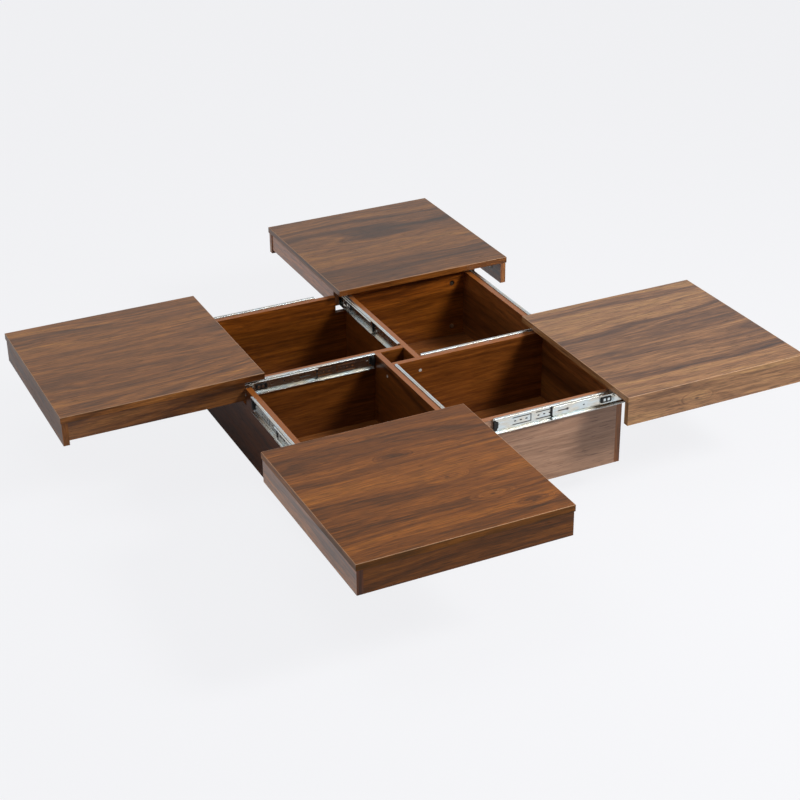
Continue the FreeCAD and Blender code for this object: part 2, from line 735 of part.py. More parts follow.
def rolled_member(name, half_line, length, mirrored, place):
    """A rolled slide member along +Y, whose section opens to -X when mirrored."""
    upper = Part.Wire(half_line)
    lower = upper.mirror(Vector(0, 0, 0), Vector(0, 1, 0))
    sheet_edge = Part.Wire(upper.Edges + lower.Edges).makeOffset2D(size["steel"] / 2, 0, False)
    section = add("Part::Feature", name + "_section")
    section.Shape = Part.Face(sheet_edge)
    upright = Rotation(Vector(1, 0, 0), 90)
    facing = Rotation(Vector(0, 0, 1), 180 if mirrored else 0)
    section.Placement = Placement(Vector(0, 0, 0), facing * upright)
    member = add("Part::Extrusion", name)
    member.Base = section
    member.DirMode = "Custom"
    member.Dir = Vector(0, 1, 0)
    member.Solid = True
    bind(member, "LengthFwd", length)
    seat(member, place)
    return member


# ---------------------------------------------------------------- slides
def slab(face, mirrored, depths, lengths, heights):
    """A block given by its depths, its lengths along the slide and its heights from the middle."""
    x0, x1 = [at_depth(face, mirrored, depth) for depth in depths]
    if mirrored:
        x0, x1 = x1, x0
    z0, z1 = [plus(SLIDE_MIDDLE, height) for height in heights]
    return block((x0, lengths[0], z0), (x1, lengths[1], z1))


def channel(face, mirrored):
    """The fixed member: punched tabs, each in a slit open at its root, with slots and screw holes."""
    body = rolled_member("channel", channel_line(), "slide_length", mirrored,
                         (face, SLIDE_START, SLIDE_MIDDLE))
    through = ("-steel", "steel * 2")
    away = "-X" if mirrored else "+X"
    behind = at_depth(face, mirrored, "-steel")
    tools = []
    for index in range(TABS):
        y0 = "%s + tab_start + %d * tab_pitch" % (SLIDE_START, index)
        y1 = plus(y0, "tab_length")
        for heights in (("tab_half - tab_slit", "tab_half"), ("-tab_half", "tab_slit - tab_half")):
            tools.append(slab(face, mirrored, through, (y0, y1), heights))
        end = (minus(y1, "tab_slit"), y1)
        tools.append(slab(face, mirrored, through, end, ("-tab_half", "tab_half")))
        for number in range(SLOTS_IN_TAB):
            middle = "%s + slot_inset + %d * slot_pitch" % (y0, number)
            ends = (minus(middle, "slot_reach"), plus(middle, "slot_reach"))
            tools.append(slab(face, mirrored, through, ends, ("-slot_radius", "slot_radius")))
            for y in ends:
                tools.append(rod("slot_radius", "steel * 3", (behind, y, SLIDE_MIDDLE), away))
    for point, off in channel_fixings(face, mirrored):
        tools.append(sheet_hole(point, off, "steel", "member_hole"))
    return without(body, tools)


def channel_screws(face, mirrored):
    """Pan-head screws that hold a channel to its board."""
    return [pan_screw(point, off, "steel") for point, off in channel_fixings(face, mirrored)]


def bumper(face, mirrored):
    """The rubber block at a channel's inner end that the sliding members close against."""
    lengths = (SLIDE_START, plus(SLIDE_START, "bumper_length"))
    heights = ("-bumper_height / 2", "bumper_height / 2")
    return slab(face, mirrored, ("steel", "steel + bumper_depth"), lengths, heights)


def intermediate(face, mirrored):
    """The middle member, with the keyhole through which its lid member is unlatched."""
    start = "%s + %s" % (MEMBER_START, MID_TRAVEL)
    body = rolled_member("intermediate", mid_line(), minus(MEMBER_LENGTH, "mid_recess"), mirrored,
                         (face, start, SLIDE_MIDDLE))
    centre = plus(start, "keyhole_at")
    depth = at_depth(face, mirrored, "steel")
    away = "-X" if mirrored else "+X"
    tools = [
        rod("keyhole_radius", "steel * 4", (depth, centre, SLIDE_MIDDLE), away),
        rod("pin_hole", "steel * 4", (depth, plus(start, "pin_hole_at"), SLIDE_MIDDLE), away),
        slab(face, mirrored, ("steel", "steel * 5"), (minus(centre, "keyhole_slot"), centre),
             ("-keyhole_width / 2", "keyhole_width / 2")),
    ]
    return [without(body, tools)]


def lid_member(face, mirrored):
    body = rolled_member("lid_member", lid_line(), MEMBER_LENGTH, mirrored,
                         (face, plus(MEMBER_START, TRAVEL), SLIDE_MIDDLE))
    holes = [sheet_hole(point, off, "steel", "member_hole")
             for point, off in lid_member_fixings(face, mirrored)]
    return [without(body, holes)]


def cage(face, mirrored, balls_at, arm_height, web_depth, arm_end, start):
    """A ball cage of a web and two arms, with a window at each ball, and its balls."""
    y0 = plus(SLIDE_START, start)
    lengths = (y0, plus(y0, "cage_length"))
    sheet = "cage_steel / 2"
    reach = ("-%.4f - %s" % (arm_height, sheet), "%.4f + %s" % (arm_height, sheet))
    web = ("%.4f - %s" % (web_depth, sheet), "%.4f + %s" % (web_depth, sheet))
    pieces = [slab(face, mirrored, web, lengths, reach)]
    windows = []
    balls = []
    for side in (-1, 1):
        middle = "%.4f" % (side * arm_height)
        arm = (minus(middle, sheet), plus(middle, sheet))
        pieces.append(slab(face, mirrored, ("%.4f" % web_depth, "%.4f" % arm_end), lengths, arm))
        for index in range(BALLS_IN_ROW):
            y = plus(y0, "cage_length * %.4f" % ((index + 0.5) / BALLS_IN_ROW))
            half = "ball_radius + pocket_gap"
            window = ("%.4f - (%s)" % (balls_at.x, half), "%.4f + %s" % (balls_at.x, half))
            windows.append(slab(face, mirrored, window, (minus(y, half), plus(y, half)),
                                (minus(middle, "cage_steel"), plus(middle, "cage_steel"))))
            ball = add("Part::Sphere", "ball")
            bind(ball, "Radius", "ball_radius")
            seat(ball, (at_depth(face, mirrored, "%.4f" % balls_at.x), y,
                        plus(SLIDE_MIDDLE, "%.4f" % (side * balls_at.y))))
            balls.append(ball)
    return [without(union(pieces), windows)] + balls


def outer_cage(face, mirrored):
    """The cage between the channel and the intermediate member, which runs at half its pace."""
    web_depth = size["steel"] + size["web_gap"] / 2
    return cage(face, mirrored, OUTER_BALL, OUTER_BALL.y, web_depth,
                OUTER_BALL.x + size["outer_arm_reach"], "outer_cage_rest + %s / 2" % MID_TRAVEL)


def inner_cage(face, mirrored):
    """The cage between the intermediate member and the lid's member."""
    web_depth = MID_WEB + size["steel"] / 2 + size["inner_web_gap"]
    return cage(face, mirrored, INNER_BALL, INNER_BALL.y - size["inner_arm_drop"], web_depth,
                INNER_BALL.x + size["inner_arm_reach"],
                "inner_cage_rest + (%s + %s) / 2" % (MID_TRAVEL, TRAVEL))


def fixed_slide_members():
    screws = []
    bumpers = []
    for label, face, mirrored in SLIDES:
        channels = []
        for turn in range(4):
            channels.append(turned([channel(face, mirrored)], turn))
            screws.append(turned(channel_screws(face, mirrored), turn))
            bumpers.append(turned([bumper(face, mirrored)], turn))
        finish(group(channels), "slide_channels_" + label)
    finish(group(screws), "slide_screws")
    finish(group(bumpers), "slide_bumpers")


MOVING_MEMBERS = [
    ("slide_mid_members_", intermediate),
    ("slide_lid_members_", lid_member),
    ("slide_outer_cages_", outer_cage),
    ("slide_inner_cages_", inner_cage),
]


def moving_slide_members(side, turn):
    for name, make in MOVING_MEMBERS:
        pieces = []
        for label, face, mirrored in SLIDES:
            pieces += make(face, mirrored)
        finish(group(pieces), name + side, turn)


# ---------------------------------------------------------------- the table
carcass()
carcass_fixings()
fixed_slide_members()
for turn, side in enumerate(SIDES):
    lid(side, turn)
    lid_fixings(side, turn)
    moving_slide_members(side, turn)
doc.recompute()

# ---------------------------------------------------------------- checks and export
for thing in doc.Objects:
    if "Invalid" in thing.State or "Error" in thing.State:
        raise RuntimeError("%s (%s) failed: %s" % (thing.Name, thing.Label, thing.State))
for thing in sub_parts:
    if thing.Shape.isNull() or not thing.Shape.isValid():
        raise RuntimeError("%s has no valid shape" % thing.Label)

os.makedirs("parts", exist_ok=True)
for thing in sub_parts:
    thing.Shape.exportStep("parts/%s.step" % thing.Label)
print("%d sub-parts, %d solids" % (len(sub_parts), sum(len(part.Shape.Solids) for part in sub_parts)))
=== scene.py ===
"""Finishes, small fittings, floor and light for the sliding top coffee table, round its CAD model.

Lengths are in metres, in the CAD model's own frame: the origin is on the floor under the table's
centre, +X right, +Y back, +Z up.  The small fittings are drawn in millimetres.
"""

import math
from typing import NamedTuple

import bmesh
import bpy
from mathutils import Matrix, Quaternion, Vector


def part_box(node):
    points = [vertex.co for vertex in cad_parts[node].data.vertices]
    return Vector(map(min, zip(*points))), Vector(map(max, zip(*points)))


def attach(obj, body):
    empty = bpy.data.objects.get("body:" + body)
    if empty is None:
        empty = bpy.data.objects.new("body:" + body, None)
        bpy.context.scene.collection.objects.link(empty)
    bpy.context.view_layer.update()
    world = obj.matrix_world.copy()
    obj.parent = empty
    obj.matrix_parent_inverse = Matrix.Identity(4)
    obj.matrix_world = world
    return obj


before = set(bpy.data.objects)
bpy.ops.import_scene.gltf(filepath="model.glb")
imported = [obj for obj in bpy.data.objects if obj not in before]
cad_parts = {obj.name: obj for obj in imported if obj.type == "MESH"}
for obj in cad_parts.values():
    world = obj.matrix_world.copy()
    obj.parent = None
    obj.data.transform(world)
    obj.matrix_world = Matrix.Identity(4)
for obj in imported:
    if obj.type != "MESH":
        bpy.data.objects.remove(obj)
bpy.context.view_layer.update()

SIDES = ("back", "left", "front", "right")
MM = 0.001


def in_mm(length):
    """A length of the CAD model in millimetres, rid of the error in its last digits."""
    return round(length / MM, 3)


# Places in the CAD model.
WALL_LOW, WALL_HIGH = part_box("wall_right")
WALL_MIDDLE = (WALL_LOW.x + WALL_HIGH.x) / 2
BODY_TOP = WALL_HIGH.z
BACK_LID_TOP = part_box("lid_back_top")
SLIDE_MIDDLE = sum(corner.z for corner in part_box("slide_channels_outer")) / 2

# The back lid's two slides, each as the place in x of the board that it hangs on, and the way in
# which its depth runs off that board.
SLIDES = ((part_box("partition_back")[0].x, -1), (WALL_HIGH.x, 1))

# The length of a slide's channel, and how far back the inner ends of the back lid's channels,
# intermediate members and inner cages lie, in millimetres.
CHANNEL_LENGTH = 350.0
CHANNEL_END = in_mm(WALL_HIGH.y) - CHANNEL_LENGTH
MEMBER_END = in_mm(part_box("slide_mid_members_back")[0].y)
CAGE_END = in_mm(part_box("slide_inner_cages_back")[0].y)


def turn_to(number):
    """The turn about Z from the back side to a side given by its place in SIDES."""
    return Matrix.Rotation(math.radians(90 * number), 4, "Z")


def turned_box(corners, number):
    """A box on the back side, given by its two corners, as it lies on another side."""
    ends = [turn_to(number) @ corner for corner in corners]
    return Vector(map(min, *ends)), Vector(map(max, *ends))


# ---------------------------------------------------------------- shader building
def shade(code):
    """A colour written as six hex digits, as the linear values that shaders use."""
    values = []
    for start in (0, 2, 4):
        level = int(code[start:start + 2], 16) / 255
        values.append(level / 12.92 if level <= 0.04045 else ((level + 0.055) / 1.055) ** 2.4)
    return (*values, 1.0)


class Value:
    """A shader socket on which arithmetic adds Math nodes."""

    def __init__(self, finish, socket):
        self.finish = finish
        self.socket = socket

    def math(self, operation, *values):
        return self.finish.node("Math", {"operation": operation}, values)

    def __add__(self, other):
        return self.math("ADD", self, other)

    __radd__ = __add__

    def __sub__(self, other):
        return self.math("SUBTRACT", self, other)

    def __rsub__(self, other):
        return self.math("SUBTRACT", other, self)

    def __mul__(self, other):
        return self.math("MULTIPLY", self, other)

    __rmul__ = __mul__

    def __abs__(self):
        return self.math("ABSOLUTE", self)

    def larger(self, other):
        return self.math("MAXIMUM", self, other)

    def smaller(self, other):
        return self.math("MINIMUM", self, other)

    def fade(self, low, high, at_low=0.0, at_high=1.0):
        """Run smoothly from at_low to at_high while the value goes from low to high."""
        settings = {"interpolation_type": "SMOOTHSTEP"}
        return self.finish.node("MapRange", settings, (self, low, high, at_low, at_high))


# The part of a face's normal along an axis, between which the face comes to look that way.
FACE_EDGE = (0.45, 0.55)


class Layer(NamedTuple):
    """A layer of noise over two lengths: how it scales each of them, its seed and its kind."""

    first: float
    second: float
    seed: float = 0.0
    detail: float = 2.0
    roughness: float = 0.5
    scale: float = 1.0


class Finish:
    """A surface finish, built up node by node."""

    def __init__(self, owner):
        owner.use_nodes = True
        self.owner = owner
        self.tree = owner.node_tree
        self.tree.nodes.clear()

    @classmethod
    def named(cls, name):
        return cls(bpy.data.materials.new(name))

    def node(self, kind, settings=None, inputs=(), output=0):
        """Add a node: its settings first, then the values or links of its sockets."""
        made = self.tree.nodes.new("ShaderNode" + kind)
        for key, value in (settings or {}).items():
            if key == "stops":
                self.set_stops(made.color_ramp, value)
            else:
                setattr(made, key, value)
        pairs = inputs.items() if isinstance(inputs, dict) else enumerate(inputs)
        for key, value in pairs:
            if isinstance(value, Value):
                self.tree.links.new(value.socket, made.inputs[key])
            else:
                made.inputs[key].default_value = value
        return Value(self, made.outputs[output]) if made.outputs else None

    @staticmethod
    def set_stops(ramp, stops):
        while len(ramp.elements) < len(stops):
            ramp.elements.new(0.5)
        for element, (place, colour) in zip(ramp.elements, stops):
            element.position = place
            element.color = colour

    def parts(self, vector, axes="XYZ"):
        """A vector's values along its axes."""
        return [self.node("SeparateXYZ", inputs=(vector,), output=axis) for axis in axes]

    def place(self):
        """The three coordinates of a point, which move along with the piece."""
        return self.parts(self.node("TexCoord", output="Object"))

    def point(self, x, y, z):
        return self.node("CombineXYZ", inputs=(x, y, z))

    def facing(self):
        """For x and y, one on the faces that look along that axis, and zero on the others."""
        normal = self.node("TexCoord", output="Normal")
        return {axis.lower(): abs(part).fade(*FACE_EDGE)
                for axis, part in zip("XY", self.parts(normal, "XY"))}

    def within(self, box, soft):
        """One inside a box given by its two corners, and zero outside it."""
        inside = 1.0
        for coordinate, low, high in zip(self.place(), *box):
            reach = (high - low) / 2
            offset = abs(coordinate - (low + high) / 2)
            inside = inside * offset.fade(reach, reach + soft, 1.0, 0.0)
        return inside

    def noise(self, point, scale, detail, roughness):
        inputs = {"Vector": point, "Scale": scale, "Detail": detail, "Roughness": roughness}
        return self.node("TexNoise", inputs=inputs)

    def layer(self, kind, first, second, seed=0.0):
        """Noise over two lengths, as its Layer says; another seed gives another piece of it."""
        point = self.point(first * kind.first, second * kind.second, seed + kind.seed)
        return self.noise(point, kind.scale, kind.detail, kind.roughness)

    def ramp(self, value, stops):
        return self.node("ValToRGB", {"stops": stops}, (value,))

    def mix(self, amount, first, second, blend="MIX"):
        """Blend two colours."""
        settings = {"data_type": "RGBA", "blend_type": blend}
        return self.node("Mix", settings, {0: amount, 6: first, 7: second}, 2)

    def tinted(self, colour, tint):
        return self.mix(1.0, colour, tint, "MULTIPLY")

    def dimmed(self, colour, share):
        """A colour times one number."""
        return self.tinted(colour, self.point(share, share, share))

    def bump(self, height, distance, strength):
        inputs = {"Strength": strength, "Distance": distance, "Height": height}
        return self.node("Bump", inputs=inputs)

    def surface(self, **inputs):
        """End in a Principled shader whose sockets are given by name, with _ for a space."""
        named = {key.replace("_", " "): value for key, value in inputs.items()}
        shader = self.node("BsdfPrincipled", inputs=named)
        self.node("OutputMaterial", inputs={"Surface": shader})
        return self.owner


# ---------------------------------------------------------------- walnut laminate
DARK_FIGURE = shade("381d0d")
FIGURE_STOPS = (
    (0.33, DARK_FIGURE),
    (0.41, shade("572f14")),
    (0.475, shade("75431d")),
    (0.545, shade("8c5427")),
    (0.66, shade("a5692f")),
)
EDGE_BROWN = shade("a66129")
# The pale colour of the painted highlight along the panels' upper arrises.
PAINTED_HIGHLIGHT = shade("c39a78")
# The near black of the painted shade on a wall behind a slide's channel.
PAINTED_GAP_SHADE = shade("1a120c")
NO_TINT = (1.0, 1.0, 1.0, 1.0)

# How far a board's seed moves its piece of the figure, along the grain and across it.
SEED_ALONG = 1.37
SEED_ACROSS = 0.61

# The figure's wide bands follow a level that rises across the grain.  It wanders, ripples and
# lifts round the knots, whose fades run over the square of the distance in a knot's own sizes.
WANDER = Layer(0.95, 5.2)
RIPPLE = Layer(5.0, 20.0, seed=3.0)
LEVEL_ACROSS = 14.0
LEVEL_WANDER = 4.2
LEVEL_RIPPLE = 0.45
KNOT_LENGTH = 0.030
KNOT_WIDTH = 0.011
KNOT_LIFT = (0.0, 4.0, 0.9, 0.0)
KNOT_CORE = (0.0, 0.09, 0.85, 0.0)

# The bands and the rings lie over that level and along the grain.
BANDS = Layer(1.0, 0.3, detail=3.0, roughness=0.6, scale=1.3)
RINGS = Layer(7.0, 1.6, seed=7.0, detail=3.0, roughness=0.65)

# The finer layers lie along the grain and across it.
STREAKS = Layer(7.0, 130.0, detail=3.0, roughness=0.6)
STROKES = Layer(19.0, 330.0, roughness=0.6)
FIBRES = Layer(40.0, 800.0, detail=1.0, roughness=0.6)
PORES = Layer(34.0, 380.0, seed=5.0, detail=1.0)
SMUDGES = Layer(5.5, 24.0, seed=2.0, detail=3.0, roughness=0.6)

# The shares of the layers in the tone, and the tone and depth of a board without any figure.
BAND_SHARE = 0.50
RING_SHARE = 0.26
STREAK_SHARE = 0.24
PLAIN_TONE = 0.485
PLAIN_DEPTH = 0.92

# Fades, each from one value to another, with its result at the first and at the last.
STROKE_DEPTH = (0.30, 0.66, 0.62, 1.18)
FIBRE_DEPTH = (0.30, 0.70, 0.84, 1.10)
SMUDGE_DEPTH = (0.60, 0.76, 1.0, 0.62)
PORE_PITS = (0.26, 0.35, 0.6, 0.0)
# The painted shade on a wall's inner face: darker low down, and darker on the left than on the
# right.
PAINTED_SHADE_FROM_FOOT = (0.215, 0.250, 0.58, 1.0)
PAINTED_SHADE_FROM_LEFT = (-0.05, 0.05, 0.92, 1.22)
BAND_HEIGHT = (-1.2 * MM, -0.5 * MM, 0.0, 0.72)
# The painted highlight along a panel's upper arrises, by its distance from the arris and its height
# below the top.
HIGHLIGHT_WIDTH = (0.8 * MM, 1.7 * MM, 1.0, 0.0)
HIGHLIGHT_HEIGHT = (-1.6 * MM, -0.6 * MM, 0.0, 0.62)

# How softly a patch of colour ends.
SOFT_EDGE = 0.5 * MM

# The film's own surface: its roughness, what streaks and pits add to it, and its relief.
FILM_SHEEN = 1.5
FILM_ROUGHNESS = 0.29
STREAK_ROUGHNESS = 0.10
PIT_ROUGHNESS = 0.25
STROKE_RELIEF = 0.8
FIBRE_RELIEF = 0.4
PIT_RELIEF = 1.5
COAT_SHEEN = 1.66
COAT_ROUGHNESS = 0.32


def grain_place(axes, along):
    """How far a point is along the axis of a grain, and across it."""
    first, second = [axes[axis] for axis in "xyz" if axis != along]
    return axes[along], first + second


def painted_inner_shade(axes):
    """What a wall's colour is multiplied by: painted shade that makes its inner face darker low down
    and on the left.
    """
    x, y, z = [axes[axis] for axis in "xyz"]
    inside = abs(x).larger(abs(y)).fade(WALL_MIDDLE - SOFT_EDGE, WALL_MIDDLE + SOFT_EDGE, 1.0, 0.0)
    share = z.fade(*PAINTED_SHADE_FROM_FOOT) * x.fade(*PAINTED_SHADE_FROM_LEFT)
    return 1.0 + inside * (share - 1.0)


def painted_face_tint(finish, facing, light_tints):
    """The tint that paints light, shade and sheen on the faces that look along each axis, with that
    of "z" where no other is given.
    """
    tint = light_tints["z"]
    for axis in "xy":
        if axis in light_tints:
            tint = finish.mix(facing[axis], tint, light_tints[axis])
    return tint


def painted_arris_highlight(axes, box):
    """How strongly the painted highlight shows along the upper arrises of a panel, standing in for a
    lamp's glint on them.
    """
    low, high = box
    sides = [(axes["x"], low.x), (axes["x"], high.x), (axes["y"], low.y), (axes["y"], high.y)]
    lines = [abs(coordinate - side).fade(*HIGHLIGHT_WIDTH) for coordinate, side in sides]
    strongest_highlight = lines[0]
    for line in lines[1:]:
        strongest_highlight = strongest_highlight.larger(line)
    return strongest_highlight * (axes["z"] - high.z).fade(*HIGHLIGHT_HEIGHT)


def walnut(name, grain, seed, end_run="z", line_at=None, band_above=None, dark_in=None,
           light_tints=None, sheen=FILM_SHEEN, gloss=NO_TINT, figured=1.0, knots=(),
           shaded_inside=False, coated=False):
    """Walnut-look laminate with its grain along one axis.

    On the faces across that axis the edge banding's grain runs along end_run instead.  line_at
    gives the box of a panel whose upper arrises get a fine painted highlight.
    band_above is the top of a board that shows its banded upper edge.  dark_in is a box in
    which the board gets painted near black shade, behind a slide's channel.  light_tints gives a
    tint that paints light, shade and sheen on the faces that look along "z", or along "x" or "y"
    where theirs is another.  sheen is the film's index of refraction and gloss its tint.  figured is
    how strongly the figure shows.  knots gives the places of small knots, along the grain and across
    it.
    shaded_inside paints shade on a wall's inner face, darker downwards and on the left.  coated
    adds a clear coat to the faces that look along x.
    """
    finish = Finish.named(name)
    axes = dict(zip("xyz", finish.place()))
    facing = finish.facing()
    side_run, side_across = grain_place(axes, grain)
    end_along, end_across = grain_place(axes, end_run)
    run = side_run + facing[grain] * (end_along - side_run) + seed * SEED_ALONG
    across = side_across + facing[grain] * (end_across - side_across) + seed * SEED_ACROSS

    wander = finish.layer(WANDER, run, across, seed)
    ripple = finish.layer(RIPPLE, run, across, seed)
    level = across * LEVEL_ACROSS + wander * LEVEL_WANDER + ripple * LEVEL_RIPPLE
    cores = []
    for knot_run, knot_across in knots:
        along = (side_run - knot_run) * (1 / KNOT_LENGTH)
        aside = (side_across - knot_across) * (1 / KNOT_WIDTH)
        distance = along * along + aside * aside
        level = level + distance.fade(*KNOT_LIFT)
        cores.append(distance.fade(*KNOT_CORE))
    bands = finish.layer(BANDS, level, run, seed)
    rings = finish.layer(RINGS, level, run, seed)
    fine_layers = (STREAKS, STROKES, FIBRES, PORES, SMUDGES)
    streaks, strokes, fibres, pores, smudges = [finish.layer(kind, run, across, seed)
                                                for kind in fine_layers]

    tone = bands * BAND_SHARE + rings * RING_SHARE + streaks * STREAK_SHARE
    tone = tone * figured + PLAIN_TONE * (1.0 - figured)
    depth = strokes.fade(*STROKE_DEPTH) * fibres.fade(*FIBRE_DEPTH) * smudges.fade(*SMUDGE_DEPTH)
    fully = min(figured, 1.0)
    depth = depth * fully + PLAIN_DEPTH * (1.0 - fully)
    # Painted shade on a wall's inner face, darker low down and on the left.
    if shaded_inside:
        depth = depth * painted_inner_shade(axes)
    colour = finish.dimmed(finish.ramp(tone, FIGURE_STOPS), depth)
    pits = pores.fade(*PORE_PITS)
    for amount in (pits, *cores):
        colour = finish.mix(amount, colour, DARK_FIGURE)
    # Painted light, shade and sheen, as a tint by board and by the way a face looks.
    if light_tints:
        colour = finish.tinted(colour, painted_face_tint(finish, facing, light_tints))

    if band_above is not None:
        colour = finish.mix((axes["z"] - band_above).fade(*BAND_HEIGHT), colour, EDGE_BROWN)
    # A fine painted highlight along a panel's upper arrises, standing in for a lamp's glint.
    if line_at is not None:
        colour = finish.mix(painted_arris_highlight(axes, line_at), colour, PAINTED_HIGHLIGHT)
    # Painted near black shade on the wall behind a slide's channel.
    if dark_in is not None:
        colour = finish.mix(finish.within(dark_in, SOFT_EDGE), colour, PAINTED_GAP_SHADE)

    roughness = FILM_ROUGHNESS + streaks * STREAK_ROUGHNESS + pits * PIT_ROUGHNESS
    relief = strokes * STROKE_RELIEF + fibres * FIBRE_RELIEF - pits * PIT_RELIEF
    coat = {}
    if coated:
        coat = {"Coat_Weight": facing["x"], "Coat_IOR": COAT_SHEEN,
                "Coat_Roughness": COAT_ROUGHNESS}
    return finish.surface(Base_Color=colour, Roughness=roughness, IOR=sheen, **coat,
                          Specular_Tint=gloss,
                          Normal=finish.bump(relief, distance=0.10 * MM, strength=0.5))


# ---------------------------------------------------------------- other finishes
ROLLING_LINES = Layer(7.0, 700.0, seed=2.0, detail=3.0, roughness=0.6)
PLATE_CLOUDS = Layer(26.0, 60.0, seed=5.0)
PLATE_CLOUD = shade("e2ddd0")
# The dark colour of the painted shade on a slide member, and the band round the slide's middle where
# it lies.
PAINTED_WEB_SHADE = shade("1d1c19")
WEB_SHADE_STRIPE = (14.0 * MM, 15.5 * MM, 0.9, 0.0)
DUST = shade("55534f")
PAINT = shade("dcdcd6")
RUBBED_PAINT = shade("a9a8a2")
BEECH_STOPS = ((0.32, shade("a87e50")), (0.5, shade("c79c69")), (0.7, shade("d8b282")))
NICKEL = shade("f2f2ee")
CLOUDED_NICKEL = shade("c6c6c0")


def zinc(name, tint, roughness, grain="y", paint_web_shade=False):
    """Bright zinc plate, with faint rolling lines along the member.

    grain is the member's axis, or "hub" or "rim" for a node that holds all four lids' members,
    near the table's middle or at its rim.  A member with paint_web_shade gets a dark band of painted
    shade round the slide's middle, with less metal in it.
    """
    finish = Finish.named(name)
    x, y, z = finish.place()
    wide, narrow = abs(x).larger(abs(y)), abs(x).smaller(abs(y))
    run, across = {"x": (x, y), "y": (y, x), "hub": (wide, narrow), "rim": (narrow, wide)}[grain]
    lines = finish.layer(ROLLING_LINES, run, across + z)
    clouds = finish.layer(PLATE_CLOUDS, run, across + z)
    colour = finish.mix(clouds.fade(0.36, 0.66), tint, PLATE_CLOUD)
    colour = finish.dimmed(colour, lines.fade(0.30, 0.62, 0.86, 1.0))
    metal = 1.0
    # A dark band of painted shade round the slide's middle.
    if paint_web_shade:
        web_shade = abs(z - SLIDE_MIDDLE).fade(*WEB_SHADE_STRIPE)
        colour = finish.mix(web_shade, colour, PAINTED_WEB_SHADE)
        metal = 1.0 - web_shade
    return finish.surface(Base_Color=colour, Metallic=metal,
                          Roughness=roughness + clouds * 0.05 + lines * 0.08,
                          Normal=finish.bump(lines, distance=0.01 * MM, strength=0.3))


def moulded(name, colour, roughness):
    """Matt moulded plastic or rubber, a little dusty and slightly uneven."""
    finish = Finish.named(name)
    point = finish.point(*finish.place())
    coarse = finish.noise(point, scale=160.0, detail=3.0, roughness=0.55)
    fine = finish.noise(point, scale=2200.0, detail=2.0, roughness=0.6)
    dusty = finish.mix(coarse.fade(0.45, 0.75, at_high=0.35), colour, DUST)
    relief = fine + coarse * 0.5
    return finish.surface(Base_Color=dusty, Roughness=roughness + coarse * 0.14,
                          Normal=finish.bump(relief, distance=0.06 * MM, strength=0.6))


def painted(name):
    """White paint on pressed steel, rubbed a little and faintly uneven."""
    finish = Finish.named(name)
    point = finish.point(*finish.place())
    peel = finish.noise(point, scale=700.0, detail=3.0, roughness=0.5)
    rub = finish.noise(point, scale=90.0, detail=4.0, roughness=0.6)
    colour = finish.mix(rub.fade(0.58, 0.74, at_high=0.5), PAINT, RUBBED_PAINT)
    return finish.surface(Base_Color=colour, Roughness=0.34 + rub * 0.2,
                          Normal=finish.bump(peel, distance=0.06 * MM, strength=0.5))


def raw_beech(name):
    """Unfinished beech with short dark flecks."""
    finish = Finish.named(name)
    x, y, z = finish.place()
    fleck_point = finish.point(x * 420.0, y * 420.0, z * 60.0)
    cloud_point = finish.point(x * 40.0, y * 40.0, z * 12.0)
    fleck = finish.noise(fleck_point, scale=1.0, detail=3.0, roughness=0.6)
    cloud = finish.noise(cloud_point, scale=1.0, detail=2.0, roughness=0.5)
    colour = finish.ramp(fleck * 0.6 + cloud * 0.4, BEECH_STOPS)
    return finish.surface(Base_Color=colour, Roughness=0.62 + fleck * 0.2,
                          Normal=finish.bump(fleck, distance=0.1 * MM, strength=0.6))


def screw_steel(name):
    """Pale nickel-plated screw heads, a little cloudy."""
    finish = Finish.named(name)
    point = finish.point(*finish.place())
    cloud = finish.noise(point, scale=420.0, detail=3.0, roughness=0.6)
    colour = finish.mix(cloud.fade(0.4, 0.65), NICKEL, CLOUDED_NICKEL)
    return finish.surface(Base_Color=colour, Metallic=0.35, Roughness=0.22 + cloud * 0.2,
                          Normal=finish.bump(cloud, distance=0.04 * MM, strength=0.4))


BRIGHT_ZINC = shade("dde7e9")
BRIGHT_ROUGHNESS = 0.20
ZINC_ALONG = {grain: zinc("bright_zinc_" + grain, BRIGHT_ZINC, BRIGHT_ROUGHNESS, grain)
              for grain in ("x", "y", "hub", "rim")}
# Zinc with a dark band of painted shade round the slide's middle.
WEB_SHADED_ZINC = {axis: zinc("greased_zinc_" + axis, BRIGHT_ZINC, BRIGHT_ROUGHNESS, axis, paint_web_shade=True)
                for axis in "xy"}
SCREW_STEEL = screw_steel("nickel_plate")
CASTING = zinc("zinc_casting", shade("6b6a66"), 0.22)
RUBBER = moulded("black_rubber", shade("171717"), 0.55)
PLASTIC = moulded("black_plastic", shade("141415"), 0.36)
WHITE_PAINT = painted("white_paint")
BEECH = raw_beech("raw_beech")


